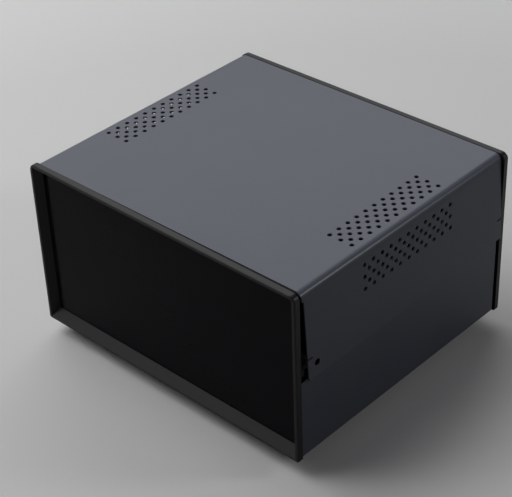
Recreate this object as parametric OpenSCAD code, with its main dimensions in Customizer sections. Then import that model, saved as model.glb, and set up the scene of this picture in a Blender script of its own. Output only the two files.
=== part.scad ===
// Sheet-steel desktop case: a folded cover and a folded base between two
// moulded bezels that hold flat panels, on four rubber feet.
// Millimetres. The origin is on the table under the middle of the case,
// +X to the right of the front panel, +Y to the rear, +Z up.

/* [Case] */
// Width over the bezels
case_w = 220; // [160:1:320]
// Depth from the front bezel's face to the rear bezel's farther end
case_d = 198.5; // [150:0.5:300]
// Height of the bezels
case_h = 118.7; // [105:0.1:180]
// Height of the base walls' top edge above the bezels' underside
seam_h = 56.5; // [50:0.5:62]

/* [Steel sheet] */
// Thickness of the sheet
sheet_t = 1; // [0.8:0.1:1.5]
// Outside radius of the cover's bends
bend_r = 5; // [4:0.1:6]
// Outside radius of the base's bends
base_bend_r = 2; // [1.8:0.1:4]
// How far the bezels stand proud of the sheet at the top and the bottom
proud_level = 0.3; // [0.3:0.1:1.5]
// How far the bezels stand proud of the sheet at the sides
proud_side = 1; // [0.5:0.1:2]
// Gap between the front bezel's flange and the base
base_front_gap = 0.1; // [0.1:0.1:1]
// Gap between the rear bezel's flange and the base's nearer corner
base_rear_gap = 0.1; // [0.1:0.1:1]

/* [Cover] */
// Turn of the loose cover and of the rear bezel, in degrees
cover_turn = 0.5; // [0:0.1:0.6]
// Gap left where the cover all but meets the bezels
corner_gap = 0.2; // [0.2:0.05:0.6]
// Outward lean of the legs, in degrees
leg_lean = 3.1; // [0:0.1:4]
// Gap between the legs' lower edges and the height of the base walls
seam_gap = 2; // [0.5:0.1:3]
// Set-back of the legs' front ends from the front of the top
leg_setback = 1.3; // [0.5:0.1:2]
// Width of the slits cut into the legs' ends
slit_w = 1.2; // [0.8:0.1:2]
// Length of the slits
slit_l = 4.2; // [2:0.1:6]
// Height of the slits above the base walls
slit_rise = 16.3; // [14:0.1:24]
// Diameter of the screw hole near the front end of each leg
leg_hole_d = 4.4; // [4.2:0.1:5]
// Height of the screw holes above the base walls
leg_hole_rise = 11; // [8:0.5:12]
// Distance of the screw holes from the face of the front bezel
leg_hole_inset = 14.5; // [13.5:0.1:17]

/* [Vents] */
// Diameter of a vent hole
vent_d = 3; // [2:0.1:4]
// Pitch of the holes along and across a vent
vent_pitch = 8.1; // [7:0.1:9]
// Number of full rows in a vent, with a staggered row between each two
vent_rows = 3; // [1:1:3]
// Number of holes in a full row
vent_cols = 11; // [3:1:13]
// Distance of a top vent's middle from the side of the cover
top_vent_inset = 17.1; // [15:0.1:30]
// Distance of a side vent's middle below the top of the cover
side_vent_drop = 17.7; // [15:0.1:20]

/* [Bezels] */
// Depth of the flange that shows around the sheet's ends
flange_d = 4.2; // [3.5:0.1:5]
// Radius of the upper outer corners
corner_r = 4.5; // [3.5:0.1:6]
// Extra radius of the lower outer corners over the rolled edge
low_corner_ease = 0.4; // [0.2:0.1:2]
// Radius of the rolled front edge
edge_r = 1; // [0.5:0.1:1.5]
// Width of the front rim at the two sides
rim_side = 2.4; // [2:0.1:3]
// Width of the front rim at the top and the bottom
rim_level = 2; // [1.8:0.1:3]
// Further step in to the window along the bevel at the sides
bevel_side = 3.2; // [2.9:0.1:4]
// Further step in to the window along the bevel at the top and the bottom
bevel_level = 5.5; // [4.4:0.1:6]
// Depth of the panel's face behind the front of the rim
recess = 5.5; // [5.2:0.1:6.5]
// Length of the sleeve that the sheet slides over
sleeve_l = 6; // [5.5:0.1:8]
// Wall of the sleeve
sleeve_t = 1.2; // [1:0.1:1.5]
// Extra radius of the sleeve's corners over the inside of the cover's bends
sleeve_ease = 1.5; // [1.4:0.1:2]
// Free play between a sleeve's sides and the turned cover
sleeve_slip = 0.2; // [0.1:0.05:0.5]

/* [Panels] */
// Thickness of the panels
panel_t = 2; // [1.5:0.1:2.5]
// Play of a panel in its sleeve
panel_slip = 0.3; // [0.1:0.05:0.4]
// Play behind a panel
panel_slack = 0.2; // [0.1:0.05:0.4]
// Width of a hook that holds the panel's top edge
hook_w = 12; // [8:0.5:16]
// Length of a hook along the sleeve
hook_l = 2; // [1.5:0.1:2.5]
// Drop of a hook below the sleeve's wall
hook_drop = 2.6; // [1.5:0.1:4]

/* [Bezel screws] */
// Distance of the screw bosses from the sides of the case
boss_inset = 40; // [30:0.5:60]
// Width of a screw boss
boss_w = 10; // [8:0.5:14]
// Length of a screw boss along the case
boss_l = 9; // [8:0.5:12]
// Height of a screw boss
boss_h = 12; // [11:0.5:16]
// Diameter of the tapping screws
tap_d = 2.9; // [2.2:0.1:3.5]
// Length of the tapping screws under the head
tap_l = 9.5; // [6.5:0.5:10]
// Diameter of the tapping screws' heads
tap_head_d = 5.6; // [5:0.1:7]
// Height of the tapping screws' heads
tap_head_h = 2; // [1.6:0.1:2.6]
// Clearance round a turned bezel's screws in the base, on the diameter
tap_clear = 0.2; // [0.1:0.1:0.3]

/* [Cover bosses] */
// Length of a boss for a cover screw, along the case behind the screw's axis
side_boss_l = 5; // [4:0.5:8]
// Depth of a boss from the sleeve's side inwards
side_boss_d = 10; // [9:0.5:14]
// Height of a boss
side_boss_h = 10; // [8:0.5:14]
// Diameter of the pilot hole for a cover screw
pilot_d = 2.4; // [2:0.1:2.5]
// Depth of the pilot hole
pilot_l = 8; // [6:0.5:8.5]

/* [Feet] */
// Height of a foot
foot_h = 11; // [9:0.1:16]
// Diameter of a foot at the case
foot_d = 22; // [18:0.5:30]
// Diameter of a foot at the table
foot_tip_d = 18; // [14:0.5:24]
// Distance of the feet from the sides of the case
foot_inset_x = 25; // [20:0.5:40]
// Distance of the feet from the faces of the bezels
foot_inset_y = 32; // [30:0.5:45]
// Depth of the counterbore in a foot
counterbore_h = 5.2; // [4.5:0.1:6]

/* [Foot screws] */
// Diameter of the screws
screw_d = 4; // [3:0.5:4]
// Length of the screws under the head
screw_l = 12; // [11:0.5:14]
// Diameter of the screws' heads
screw_head_d = 8; // [6:0.1:8]
// Height of the screws' heads
screw_head_h = 2.6; // [2:0.1:3]
// Diameter of the washers
washer_d = 9; // [8.2:0.1:10]
// Thickness of the washers
washer_t = 0.8; // [0.5:0.1:1]
// Width of the nuts across their flats
nut_flats = 7; // [6:0.1:8]
// Height of the nuts
nut_h = 3.2; // [2.4:0.1:4]
// Clearance of the screws in plain holes, on the diameter
hole_clear = 0.5; // [0.3:0.1:1]
// Clearance between a screw and the thread that holds it, on the diameter
thread_clear = 0.1; // [0.05:0.05:0.2]

/* [Hidden] */
$fn = 48;
// Overrun of a cutter past the face that it cuts
over = 1;
front = -1;
rear = 1;
left = -1;
right = 1;

paint = "#55575d";
bezel_black = "#2b2b2e";
panel_black = "#141316";
rubber_black = "#1d1d1e";
zinc = "#b9bbbd";

// Levels
bezel_z = foot_h - proud_level;
bezel_mid_z = bezel_z + case_h / 2;
floor_z = foot_h;
floor_top_z = floor_z + sheet_t;
cover_top_z = bezel_z + case_h - proud_level;
cover_under_z = cover_top_z - sheet_t;
wall_top_z = bezel_z + seam_h;
leg_low_z = wall_top_z + seam_gap;
leg_hole_z = wall_top_z + leg_hole_rise;
slit_z = wall_top_z + slit_rise;

// Plan
sheet_w = case_w - 2 * proud_side;
inner_w = sheet_w - 2 * sheet_t;
bay_l = case_d - 2 * flange_d;
rear_mid = case_d / 2 - case_w / 2 * sin(cover_turn);
base_rear_room = base_rear_gap + (case_w + sheet_w) / 2 * tan(cover_turn);
base_l = bay_l - base_front_gap - base_rear_room;
base_y = (base_front_gap - base_rear_room) / 2;

// The loose cover is turned like the rear bezel and lies along its flange, and
// its front left corner all but meets the front bezel
room_to_rear = rear_mid * cos(cover_turn) - flange_d - corner_gap;
room_to_front = (bay_l / 2 - corner_gap - sheet_w / 2 * sin(cover_turn)) / cos(cover_turn);
cover_l = room_to_rear + room_to_front;
cover_shift = (room_to_rear - room_to_front) / 2;
leg_hole_y = case_d / 2 - leg_hole_inset + cover_shift;

// Legs of the cover, measured down the sheet from the end of the bend
leg_start_z = cover_top_z - bend_r * (1 - sin(leg_lean));
leg_l = (leg_start_z - leg_low_z) / cos(leg_lean);
leg_hole_s = (leg_start_z - leg_hole_z) / cos(leg_lean);
slit_s = (leg_start_z - slit_z) / cos(leg_lean);
side_vent_s = (leg_start_z - cover_top_z + side_vent_drop) / cos(leg_lean);
wall_l = wall_top_z - floor_z - base_bend_r;

// Flange of a bezel, and its sleeve inside the sheet on all sides
low_corner_r = edge_r + low_corner_ease;
sleeve_w = inner_w - case_d * sin(cover_turn) - 2 * sleeve_slip;
sleeve_h = cover_under_z - floor_top_z;
sleeve_r = bend_r - sheet_t + sleeve_ease;
sleeve_end = flange_d + sleeve_l;
panel_back = recess + panel_t + panel_slack;
boss_x = case_w / 2 - boss_inset;
tap_depth = panel_back + boss_l / 2;
tap_hole_d = tap_d + 2 * boss_x * sin(cover_turn) + tap_clear;

// Feet
foot_x = case_w / 2 - foot_inset_x;
foot_y = case_d / 2 - foot_inset_y;
head_z = counterbore_h - washer_t;
counterbore_d = max(washer_d, screw_head_d) + hole_clear;

// Distance of the middle of an end's bezel face from the middle of the case
function face_y(end) = end == front ? case_d / 2 : rear_mid;

// Plain shapes that several pieces share

// Rectangle with true round corners, about the origin
module round_rect(w, h, r) {
    square([w - 2 * r, h], center = true);
    square([w, h - 2 * r], center = true);
    for (x = [-1, 1], y = [-1, 1])
        translate([x * (w / 2 - r), y * (h / 2 - r)])
            circle(r);
}

// Slab with round corners, of one radius above and one below, and a rolled
// edge round its face at z = 0
module rolled_slab(w, h, t, high_r, low_r, e) {
    steps = 5;
    side_r = max(high_r, low_r);
    corners = [high_r, high_r, low_r, low_r];
    // Section of the edge, reaching r inwards from the outline
    module edge_section(r) {
        polygon(concat(
            [[0, t], [0, 0]],
            [for (i = [0 : steps])
                [r - e + e * sin(90 * i / steps), e - e * cos(90 * i / steps)]],
            [[r, t]]
        ));
    }
    translate([side_r - w / 2, low_r - h / 2, 0])
        cube([w - 2 * side_r, h - high_r - low_r, t]);
    for (quarter = [0 : 3]) {
        along = quarter % 2 == 0 ? w : h;
        across = quarter % 2 == 0 ? h : w;
        first = corners[(quarter + 1) % 4];
        last = corners[quarter];
        reach = max(first, last);
        rotate(90 * quarter) {
            translate([first - along / 2, across / 2 - reach, 0])
                rotate([90, 0, 90])
                    linear_extrude(along - first - last)
                        edge_section(reach);
            translate([along / 2 - last, across / 2 - last, 0])
                rotate_extrude(angle = 90)
                    edge_section(last);
        }
    }
}

// Sheet folded down along both sides with the outside radius outer_r: its flat
// top lies under z = 0, the first child is cut from the top and the second, if
// any, from each leg
module folded_sheet(length, leg, lean, outer_r) {
    steps = 8;
    inner_r = outer_r - sheet_t;
    bend_x = sheet_w / 2 - outer_r;
    // One face of the sheet from the top, round a bend of radius r and down a leg
    function face(r) = concat(
        [for (i = [0 : steps])
            let (a = 90 - (90 - lean) * i / steps)
            [bend_x + r * cos(a), r * sin(a) - outer_r]],
        [[bend_x + r * cos(lean) + leg * sin(lean),
          r * sin(lean) - leg * cos(lean) - outer_r]]
    );
    function reversed(points) = [for (i = [len(points) - 1 : -1 : 0]) points[i]];
    function mirrored(points) = [for (p = points) [-p[0], p[1]]];
    half = concat(face(outer_r), reversed(face(inner_r)));
    difference() {
        rotate([90, 0, 0])
            linear_extrude(length, center = true)
                polygon(concat(half, mirrored(reversed(half))));
        translate([0, 0, -sheet_t - over])
            linear_extrude(sheet_t + 2 * over)
                children(0);
        if ($children > 1)
            for (side = [0, 1])
                mirror([side, 0, 0])
                    translate([bend_x, 0, -outer_r])
                        rotate([0, 90 - lean, 0])
                            translate([0, 0, inner_r - over])
                                linear_extrude(sheet_t + 2 * over)
                                    children(1);
    }
}

// Full rows of vent holes with staggered rows between them, along Y
module vent_holes() {
    for (row = [0 : 2 * vent_rows - 2]) {
        count = vent_cols - row % 2;
        for (col = [0 : count - 1])
            translate([
                (row - vent_rows + 1) * vent_pitch / 2,
                (col - (count - 1) / 2) * vent_pitch
            ])
                circle(d = vent_d, $fn = 24);
    }
}

// Cuts at the ends of a leg: the front set-back below the bend, and the slits
module leg_end_cuts() {
    translate([leg_setback, -cover_l / 2 - over])
        square([leg_l + over, leg_setback + over]);
    translate([slit_s - slit_w / 2, -cover_l / 2 - over])
        square([slit_w, leg_setback + slit_l + over]);
    translate([slit_s - slit_w / 2, cover_l / 2 - slit_l])
        square([slit_w, slit_l + over]);
}

// Pan-head screw pointing up, the head's underside at z = 0
module pan_screw(d, length, head_d, head_h) {
    cross_w = head_d / 8;
    cross_l = head_d / 2;
    cross_h = head_h / 2;
    dome = head_h / 2;
    steps = 4;
    difference() {
        union() {
            cylinder(d = d, h = length);
            rotate_extrude()
                polygon(concat(
                    [[0, 0], [0, -head_h]],
                    [for (i = [0 : steps])
                        [head_d / 2 - dome + dome * sin(90 * i / steps),
                         dome - head_h - dome * cos(90 * i / steps)]],
                    [[head_d / 2, 0]]
                ));
        }
        for (turn = [0, 90])
            rotate(turn)
                translate([-cross_l / 2, -cross_w / 2, -head_h - over])
                    cube([cross_l, cross_w, cross_h + over]);
    }
}

// Places a child on each foot's axis
module at_feet() {
    for (x = [left, right], y = [front, rear])
        translate([x * foot_x, y * foot_y, 0])
            children();
}

// Turns a bezel's own axes into place: across, up, and inwards from its face.
// The rear bezel stands a little out of square on its screws
module at_end(end) {
    rotate(end == front ? 180 : 0)
        translate([0, face_y(end), 0])
            rotate(end == front ? 0 : cover_turn)
                rotate([90, 0, 0])
                    children();
}

// Places a child upright on each of a bezel's two screw axes, at floor level
module at_bezel_screws(end) {
    at_end(end)
        for (x = [left, right])
            translate([x * boss_x, floor_z, tap_depth])
                rotate([-90, 0, 0])
                    children();
}

// Folded cover, unscrewed: it rests on the sleeves a little turned, with its
// legs sprung outwards
module top_cover() {
    color(paint)
        translate([0, 0, cover_top_z])
            rotate(cover_turn)
                translate([0, cover_shift, 0])
                    folded_sheet(cover_l, leg_l, leg_lean, bend_r) {
                        for (side = [left, right])
                            translate([side * (sheet_w / 2 - top_vent_inset), 0])
                                vent_holes();
                        union() {
                            translate([side_vent_s, 0])
                                vent_holes();
                            translate([leg_hole_s, front * leg_hole_y])
                                circle(d = leg_hole_d);
                            leg_end_cuts();
                        }
                    }
}

// Folded base with the holes for the feet and the bezels' screws
module base_tray() {
    color(paint)
        translate([0, base_y, floor_z])
            mirror([0, 0, 1])
                folded_sheet(base_l, wall_l, 0, base_bend_r)
                    translate([0, -base_y])
                        for (x = [left, right], y = [front, rear]) {
                            translate([x * foot_x, y * foot_y])
                                circle(d = screw_d + hole_clear);
                            translate([x * boss_x, y * (face_y(y) - tap_depth)])
                                circle(d = tap_hole_d);
                        }
}

// Opening of a bezel, bevelled in from the rim to the panel on all four sides
module bezel_window() {
    module half_section(rim_at_face, step) {
        slope = step / recess;
        polygon([
            [rim_at_face + slope * over, -over],
            [-rim_at_face - slope * over, -over],
            [step - rim_at_face + slope * over, recess + over],
            [rim_at_face - step - slope * over, recess + over]
        ]);
    }
    intersection() {
        translate([0, bezel_mid_z, 0])
            rotate([90, 0, 0])
                linear_extrude(case_h, center = true)
                    half_section(case_w / 2 - rim_side, bevel_side);
        translate([0, bezel_mid_z, 0])
            rotate([90, 0, 90])
                linear_extrude(case_w, center = true)
                    half_section(case_h / 2 - rim_level, bevel_level);
    }
}

// Moulded frame: flange, sleeve for the sheet, hooks for the panel, bosses for
// the screws from below and for the cover's screws from the sides
module bezel() {
    color(bezel_black)
        difference() {
            union() {
                difference() {
                    union() {
                        translate([0, bezel_mid_z, 0])
                            rolled_slab(case_w, case_h, flange_d, corner_r, low_corner_r, edge_r);
                        translate([0, bezel_mid_z, flange_d / 2])
                            linear_extrude(sleeve_end - flange_d / 2)
                                round_rect(sleeve_w, sleeve_h, sleeve_r);
                    }
                    bezel_window();
                    translate([0, bezel_mid_z, recess])
                        linear_extrude(sleeve_end - recess + over)
                            round_rect(
                                sleeve_w - 2 * sleeve_t,
                                sleeve_h - 2 * sleeve_t,
                                sleeve_r - sleeve_t
                            );
                }
                for (x = [left, 0, right])
                    translate([
                        x * boss_x - hook_w / 2,
                        cover_under_z - sleeve_t - hook_drop,
                        panel_back
                    ])
                        cube([hook_w, hook_drop + sleeve_t / 2, hook_l]);
                for (x = [left, right])
                    translate([x * boss_x - boss_w / 2, floor_top_z, panel_back])
                        cube([boss_w, boss_h, boss_l]);
                for (side = [0, 1])
                    mirror([side, 0, 0])
                        translate([
                            sleeve_w / 2 - side_boss_d,
                            leg_hole_z - side_boss_h / 2,
                            panel_back
                        ])
                            cube([
                                side_boss_d,
                                side_boss_h,
                                leg_hole_inset + side_boss_l - panel_back
                            ]);
            }
            for (x = [left, right])
                translate([x * boss_x, floor_top_z - over, tap_depth])
                    rotate([-90, 0, 0])
                        cylinder(d = tap_d + thread_clear, h = tap_l + over);
            for (x = [left, right])
                translate([x * sleeve_w / 2, leg_hole_z, leg_hole_inset])
                    rotate([0, x * 90, 0])
                        translate([0, 0, -pilot_l])
                            cylinder(d = pilot_d, h = pilot_l + over);
        }
}

module front_bezel() {
    at_end(front)
        bezel();
}

module rear_bezel() {
    at_end(rear)
        bezel();
}

// Flat panel that stands on the sleeve's lower wall, behind the bevel
module panel() {
    panel_r = sleeve_r - sleeve_t + panel_slip;
    panel_w = sleeve_w - 2 * sleeve_t - 2 * panel_slip;
    panel_h = sleeve_h - 2 * sleeve_t - panel_slip;
    color(panel_black)
        translate([0, floor_top_z + sleeve_t + panel_h / 2, recess])
            linear_extrude(panel_t)
                round_rect(panel_w, panel_h, panel_r);
}

module front_panel() {
    at_end(front)
        panel();
}

module rear_panel() {
    at_end(rear)
        panel();
}

// Tapered rubber foot, bored for its screw and counterbored for the head
module foot(side, end) {
    color(rubber_black)
        translate([side * foot_x, end * foot_y, 0])
            difference() {
                cylinder(d1 = foot_tip_d, d2 = foot_d, h = foot_h);
                translate([0, 0, -over])
                    cylinder(d = counterbore_d, h = counterbore_h + over);
                cylinder(d = screw_d + hole_clear, h = foot_h + over);
            }
}

module front_left_foot() {
    foot(left, front);
}

module front_right_foot() {
    foot(right, front);
}

module rear_left_foot() {
    foot(left, rear);
}

module rear_right_foot() {
    foot(right, rear);
}

// Screws that come up through the feet and the base
module foot_screws() {
    color(zinc)
        at_feet()
            translate([0, 0, head_z])
                pan_screw(screw_d, screw_l, screw_head_d, screw_head_h);
}

// Washers between the screw heads and the rubber
module foot_washers() {
    color(zinc)
        at_feet()
            translate([0, 0, head_z])
                difference() {
                    cylinder(d = washer_d, h = washer_t);
                    translate([0, 0, -over])
                        cylinder(d = screw_d + hole_clear, h = washer_t + 2 * over);
                }
}

// Hexagon nuts on the floor of the base
module foot_nuts() {
    color(zinc)
        at_feet()
            translate([0, 0, floor_top_z])
                difference() {
                    cylinder(d = nut_flats / cos(30), h = nut_h, $fn = 6);
                    translate([0, 0, -over])
                        cylinder(d = screw_d + thread_clear, h = nut_h + 2 * over);
                }
}

// Tapping screws that come up through the base into a bezel's bosses
module bezel_screws(end) {
    color(zinc)
        at_bezel_screws(end)
            pan_screw(tap_d, tap_l, tap_head_d, tap_head_h);
}

module front_bezel_screws() {
    bezel_screws(front);
}

module rear_bezel_screws() {
    bezel_screws(rear);
}

top_cover();
base_tray();
front_bezel();
rear_bezel();
front_panel();
rear_panel();
front_left_foot();
front_right_foot();
rear_left_foot();
rear_right_foot();
foot_screws();
foot_washers();
foot_nuts();
front_bezel_screws();
rear_bezel_screws();
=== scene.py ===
import math

import bpy
import numpy as np
from mathutils import Matrix, Vector

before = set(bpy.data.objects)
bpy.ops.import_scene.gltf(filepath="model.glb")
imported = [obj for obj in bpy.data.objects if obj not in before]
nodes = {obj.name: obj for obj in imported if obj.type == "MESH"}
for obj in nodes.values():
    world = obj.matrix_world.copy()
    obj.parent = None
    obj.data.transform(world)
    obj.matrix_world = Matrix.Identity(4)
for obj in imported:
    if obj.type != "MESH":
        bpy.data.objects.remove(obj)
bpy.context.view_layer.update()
bpy.context.scene.view_settings.view_transform = "Standard"

# Base tray: one blank of mild steel sheet, punched flat and folded up along
# both sides. It is powder coated before assembly, and the feet and the bezels
# are screwed to its floor.
mm = 0.001


def linear(hex_colour):
    """Linear RGBA of an sRGB hex colour, by the sRGB curve."""
    parts = [int(hex_colour[i : i + 2], 16) / 255 for i in (1, 3, 5)]
    curve = [c / 12.92 if c <= 0.04045 else ((c + 0.055) / 1.055) ** 2.4 for c in parts]
    return (*curve, 1.0)


def add_node(material, kind, inputs=None, **settings):
    """Adds a node, sets its properties, and sets or links each named input."""
    tree = material.node_tree
    node = tree.nodes.new(kind)
    for name, value in settings.items():
        setattr(node, name, value)
    for name, value in (inputs or {}).items():
        if isinstance(value, bpy.types.NodeSocket):
            tree.links.new(value, node.inputs[name])
        else:
            node.inputs[name].default_value = value
    return node


def new_material(name, **sockets):
    """A material, its shader and its Object coordinates, with plain sockets set."""
    material = bpy.data.materials.new(name)
    material.use_nodes = True
    shader = material.node_tree.nodes["Principled BSDF"]
    for socket, value in sockets.items():
        shader.inputs[socket.replace("_", " ")].default_value = value
    place = add_node(material, "ShaderNodeTexCoord").outputs["Object"]
    return material, shader, place


def connect(material, shader, **outputs):
    """Links node outputs to the shader's sockets of those names."""
    for socket, output in outputs.items():
        material.node_tree.links.new(output, shader.inputs[socket.replace("_", " ")])


def dress(material, *names):
    """Gives CAD nodes a material in place of their plain one."""
    for name in names:
        nodes[name].data.materials.clear()
        nodes[name].data.materials.append(material)


# Slate powder coat over steel: satin, even from afar, with a faint cloud in its
# tone and an orange-peel skin. The peel's real 0.4 mm cells are drawn at 1.1 mm,
# as fine as the render can show.
powder_coat, shader, place = new_material("slate_powder_coat", IOR=1.45)
shader.inputs["Specular IOR Level"].default_value = 0.2
cloud_size = 60 * mm
peel_size = 1.1 * mm
cloud = add_node(
    powder_coat,
    "ShaderNodeTexNoise",
    {"Vector": place, "Scale": 1 / cloud_size, "Detail": 3.0, "Roughness": 0.55},
)
peel = add_node(
    powder_coat,
    "ShaderNodeTexNoise",
    {"Vector": place, "Scale": 1 / peel_size, "Detail": 1.0},
)
tone = add_node(
    powder_coat,
    "ShaderNodeMix",
    {"Factor": cloud.outputs["Fac"], "A": linear("#4f525d"), "B": linear("#575a65")},
    data_type="RGBA",
)
skin = add_node(
    powder_coat,
    "ShaderNodeBump",
    {"Height": peel.outputs["Fac"], "Strength": 0.25, "Distance": 0.03 * mm},
)
satin = add_node(
    powder_coat,
    "ShaderNodeMapRange",
    {"Value": cloud.outputs["Fac"], "To Min": 0.26, "To Max": 0.32},
)
connect(
    powder_coat,
    shader,
    Base_Color=tone.outputs["Result"],
    Roughness=satin.outputs["Result"],
    Normal=skin.outputs["Normal"],
)
dress(powder_coat, "base_tray")

# Feet: four tapered bumpers of black rubber, moulded with a counterbore for the
# head of the screw that holds each to the base.
feet = [f"{end}_{side}_foot" for end in ("front", "rear") for side in ("left", "right")]

# Black rubber: matt and a little dusty grey where wax has bloomed out of it,
# with the fine grain of its mould, drawn at 0.8 mm so that it shows.
rubber, shader, place = new_material("moulded_black_rubber", IOR=1.52)
shader.inputs["Specular IOR Level"].default_value = 0.3
bloom_size = 9 * mm
rubber_grain = 0.8 * mm
bloom = add_node(
    rubber,
    "ShaderNodeTexNoise",
    {"Vector": place, "Scale": 1 / bloom_size, "Detail": 4.0, "Roughness": 0.6},
)
grain = add_node(
    rubber,
    "ShaderNodeTexNoise",
    {"Vector": place, "Scale": 1 / rubber_grain, "Detail": 2.0},
)
tone = add_node(
    rubber,
    "ShaderNodeMix",
    {"Factor": bloom.outputs["Fac"], "A": linear("#151516"), "B": linear("#232324")},
    data_type="RGBA",
)
matt = add_node(
    rubber,
    "ShaderNodeMapRange",
    {"Value": bloom.outputs["Fac"], "To Min": 0.7, "To Max": 0.9},
)
skin = add_node(
    rubber,
    "ShaderNodeBump",
    {"Height": grain.outputs["Fac"], "Strength": 0.4, "Distance": 0.05 * mm},
)
connect(
    rubber,
    shader,
    Base_Color=tone.outputs["Result"],
    Roughness=matt.outputs["Result"],
    Normal=skin.outputs["Normal"],
)
dress(rubber, *feet)

# Fasteners: cold-headed steel screws, stamped washers and hexagon nuts, zinc
# plated. The foot screws come up through the base, and the tapping screws go
# up through the base into the bezels.
fasteners = (
    "foot_screws",
    "foot_washers",
    "foot_nuts",
    "front_bezel_screws",
    "rear_bezel_screws",
)

# Bright zinc plate: a pale bluish metal with faint straw-coloured patches from
# its passivation, and a fine crystalline mottle in its gloss.
zinc, shader, place = new_material("zinc_plated_steel", Metallic=1.0)
patch_size = 5 * mm
crystal_size = 0.7 * mm
patches = add_node(
    zinc,
    "ShaderNodeTexNoise",
    {"Vector": place, "Scale": 1 / patch_size, "Detail": 3.0},
)
crystals = add_node(
    zinc,
    "ShaderNodeTexVoronoi",
    {"Vector": place, "Scale": 1 / crystal_size},
)
tone = add_node(
    zinc,
    "ShaderNodeMix",
    {"Factor": patches.outputs["Fac"], "A": linear("#b6bac0"), "B": linear("#c1bfb4")},
    data_type="RGBA",
)
mottle = add_node(
    zinc,
    "ShaderNodeMapRange",
    {"Value": crystals.outputs["Distance"], "To Min": 0.26, "To Max": 0.42},
)
connect(
    zinc,
    shader,
    Base_Color=tone.outputs["Result"],
    Roughness=mottle.outputs["Result"],
)
dress(zinc, *fasteners)

# Bezels: two like frames, injection moulded in black ABS, each with a rolled
# outer edge, a bevelled window, a sleeve inside the sheet and bosses for the
# screws.
bezels = ("front_bezel", "rear_bezel")

# Black ABS: satin black, with the fine spark-eroded grain of its mould and a
# slight unevenness of gloss. The real 0.15 mm grain is drawn at 0.7 mm to show.
abs_black, shader, place = new_material("moulded_black_abs", IOR=1.53)
shader.inputs["Specular IOR Level"].default_value = 0.17
flow_size = 30 * mm
mould_grain = 0.7 * mm
flow = add_node(
    abs_black,
    "ShaderNodeTexNoise",
    {"Vector": place, "Scale": 1 / flow_size, "Detail": 3.0},
)
grain = add_node(
    abs_black,
    "ShaderNodeTexNoise",
    {"Vector": place, "Scale": 1 / mould_grain, "Detail": 2.0, "Roughness": 0.6},
)
tone = add_node(
    abs_black,
    "ShaderNodeMix",
    {"Factor": flow.outputs["Fac"], "A": linear("#1a191c"), "B": linear("#212023")},
    data_type="RGBA",
)
sheen = add_node(
    abs_black,
    "ShaderNodeMapRange",
    {"Value": flow.outputs["Fac"], "To Min": 0.32, "To Max": 0.42},
)
skin = add_node(
    abs_black,
    "ShaderNodeBump",
    {"Height": grain.outputs["Fac"], "Strength": 0.3, "Distance": 0.03 * mm},
)
connect(
    abs_black,
    shader,
    Base_Color=tone.outputs["Result"],
    Roughness=sheen.outputs["Result"],
    Normal=skin.outputs["Normal"],
)
dress(abs_black, *bezels)

# Panels: flat plates of black acrylic, cut to size with round corners. Each
# drops into its bezel's sleeve from behind and stands against the bevel.
panels = ("front_panel", "rear_panel")

# Gloss black acrylic: deep black with a soft reflection, faintly hazed where it
# was wiped in long strokes.
acrylic, shader, place = new_material("gloss_black_acrylic", IOR=1.49)
shader.inputs["Specular IOR Level"].default_value = 0.04
stroke_length = 90 * mm
stroke_width = 14 * mm
stretched = add_node(
    acrylic,
    "ShaderNodeMapping",
    {
        "Vector": place,
        "Rotation": (0.0, math.radians(24), 0.0),
        "Scale": (1 / stroke_length, 1 / stroke_width, 1 / stroke_width),
    },
)
strokes = add_node(
    acrylic,
    "ShaderNodeTexNoise",
    {
        "Vector": stretched.outputs["Vector"],
        "Scale": 1.0,
        "Detail": 5.0,
        "Roughness": 0.6,
    },
)
haze = add_node(
    acrylic,
    "ShaderNodeMapRange",
    {
        "Value": strokes.outputs["Fac"],
        "From Min": 0.35,
        "From Max": 0.7,
        "To Min": 0.1,
        "To Max": 0.24,
    },
)
tone = add_node(
    acrylic,
    "ShaderNodeMix",
    {"Factor": strokes.outputs["Fac"], "A": linear("#0c090f"), "B": linear("#110e14")},
    data_type="RGBA",
)
connect(
    acrylic,
    shader,
    Base_Color=tone.outputs["Result"],
    Roughness=haze.outputs["Result"],
)
dress(acrylic, *panels)

# Top cover: a second blank of the same sheet, punched with four vents and
# folded down along both sides. It is unscrewed, so it sits on the sleeves a
# little askew with its legs sprung outwards. Its paint is the base's.
dress(powder_coat, "top_cover")

# Studio floor: a round sheet of pale paper under the case that sweeps up into a
# wall far off. The camera and the glossy faces see it as pale while it throws
# little light back up, and away from the lamps it has a glow of its own.
sweep_radius = 3.0
sweep_bend = 0.8
sweep_height = 1.4
sweep_turns = 96
bend_rings = 13
glow_start = 0.4
glow_end = 2.0
glow_strength = 0.45


def swept_round(name, radii, heights, turns):
    """A profile turned about the upright axis, with a disc across its first ring."""
    around = np.linspace(0, 2 * math.pi, turns, endpoint=False)
    across = np.outer(radii, np.cos(around))
    along = np.outer(radii, np.sin(around))
    up = np.outer(heights, np.ones(turns))
    index = np.arange(len(radii) * turns).reshape(len(radii), turns)
    after = np.roll(index, -1, axis=1)
    quads = np.stack((index[:-1], after[:-1], after[1:], index[1:]), axis=-1)
    mesh = bpy.data.meshes.new(name)
    mesh.from_pydata(
        np.stack((across, along, up), axis=-1).reshape(-1, 3).tolist(),
        [],
        [index[0].tolist(), *quads.reshape(-1, 4).tolist()],
    )
    return mesh


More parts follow.
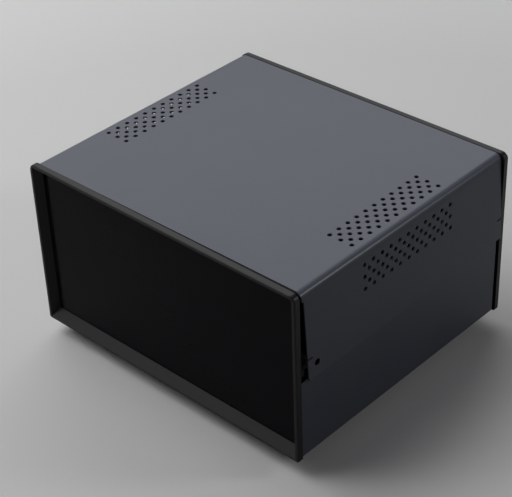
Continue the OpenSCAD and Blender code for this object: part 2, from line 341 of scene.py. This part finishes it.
rise = np.linspace(0, math.pi / 2, bend_rings)
floor_mesh = swept_round(
    "floor",
    radii=np.append(sweep_radius - sweep_bend * (1 - np.sin(rise)), sweep_radius),
    heights=np.append(sweep_bend * (1 - np.cos(rise)), sweep_height),
    turns=sweep_turns,
)
floor = bpy.data.objects.new("floor", floor_mesh)
bpy.context.scene.collection.objects.link(floor)
paper, shader, place = new_material("pale_backdrop_paper")
rays = add_node(paper, "ShaderNodeLightPath")
seen = rays.outputs["Is Camera Ray"]
for ray in ("Is Glossy Ray", "Is Transmission Ray"):
    seen = add_node(
        paper, "ShaderNodeMath", {0: seen, 1: rays.outputs[ray]}, operation="MAXIMUM"
    ).outputs[0]
dim = add_node(paper, "ShaderNodeBsdfDiffuse", {"Color": linear("#404040")})
pale = add_node(paper, "ShaderNodeBsdfDiffuse", {"Color": linear("#cccccc")})
reach = add_node(paper, "ShaderNodeVectorMath", {0: place}, operation="LENGTH")
fill = add_node(
    paper,
    "ShaderNodeMapRange",
    {
        "Value": reach.outputs["Value"],
        "From Min": glow_start,
        "From Max": glow_end,
        "To Max": glow_strength,
    },
)
glow = add_node(paper, "ShaderNodeEmission", {"Strength": fill.outputs["Result"]})
even = add_node(paper, "ShaderNodeAddShader", {0: pale.outputs[0], 1: glow.outputs[0]})
sheet = add_node(
    paper,
    "ShaderNodeMixShader",
    {0: seen, 1: dim.outputs[0], 2: even.outputs[0]},
)
paper.node_tree.links.new(
    sheet.outputs[0], paper.node_tree.nodes["Material Output"].inputs["Surface"]
)
paper.node_tree.nodes.remove(shader)
floor_mesh.materials.append(paper)

# Studio light: a large softbox overhead to the left, one behind the case for
# the sheen of its top, one at the front left for the lip under the panel, a
# small one behind the right that draws the cover's bend, and a dim even room.
world = bpy.data.worlds.new("studio")
world.use_nodes = True
room = world.node_tree.nodes["Background"]
room.inputs["Color"].default_value = linear("#f2f5ff")
room.inputs["Strength"].default_value = 0.05
bpy.context.scene.world = world


def softbox(name, place, aim, size, watts):
    """A rectangular area lamp at a place, turned to an aim."""
    lamp = bpy.data.lights.new(name, "AREA")
    lamp.shape = "RECTANGLE"
    lamp.size, lamp.size_y = size
    lamp.energy = watts
    lamp_object = bpy.data.objects.new(name, lamp)
    lamp_object.location = place
    beam = Vector(aim) - Vector(place)
    lamp_object.rotation_euler = beam.to_track_quat("-Z", "Y").to_euler()
    bpy.context.scene.collection.objects.link(lamp_object)


softbox(
    "overhead_softbox",
    place=(-0.7, -0.35, 1.3),
    aim=(0, 0, 0.07),
    size=(1.1, 1.1),
    watts=13,
)
softbox(
    "rear_softbox",
    place=(-0.95, 0.95, 1.35),
    aim=(0, 0, 0.07),
    size=(1.6, 1.2),
    watts=11.5,
)
softbox(
    "front_softbox",
    place=(-1.1, -1.15, 1.2),
    aim=(0, -0.1, 0.03),
    size=(1.0, 1.0),
    watts=4.7,
)
softbox(
    "edge_softbox",
    place=(1.1, 0.85, 0.8),
    aim=(0.1, 0, 0.1),
    size=(0.3, 0.3),
    watts=3.6,
)

# Camera: a long lens from the front right, well above the case, rolled a little
# as a hand-held one is.
lens_mm = 106.63
sensor_mm = 36.0
view_azimuth = math.radians(44.10)
view_elevation = math.radians(34.36)
view_roll = math.radians(-2.34)
view_distance = 969.0 * mm
aim_right = -10.41 * mm
aim_up = -8.13 * mm
aim_point = Vector((0, 1.75 * mm, 70.7 * mm))
back = Vector(
    (
        math.sin(view_azimuth) * math.cos(view_elevation),
        -math.cos(view_azimuth) * math.cos(view_elevation),
        math.sin(view_elevation),
    )
)
turn = back.to_track_quat("Z", "Y").to_matrix() @ Matrix.Rotation(view_roll, 3, "Z")
camera = bpy.data.objects.new("camera", bpy.data.cameras.new("camera"))
camera.data.lens = lens_mm
camera.data.sensor_width = sensor_mm
framing = turn @ Vector((aim_right, aim_up, 0))
camera.location = aim_point + back * view_distance + framing
camera.rotation_euler = turn.to_euler()
bpy.context.scene.collection.objects.link(camera)
bpy.context.scene.camera = camera

bpy.context.view_layer.update()
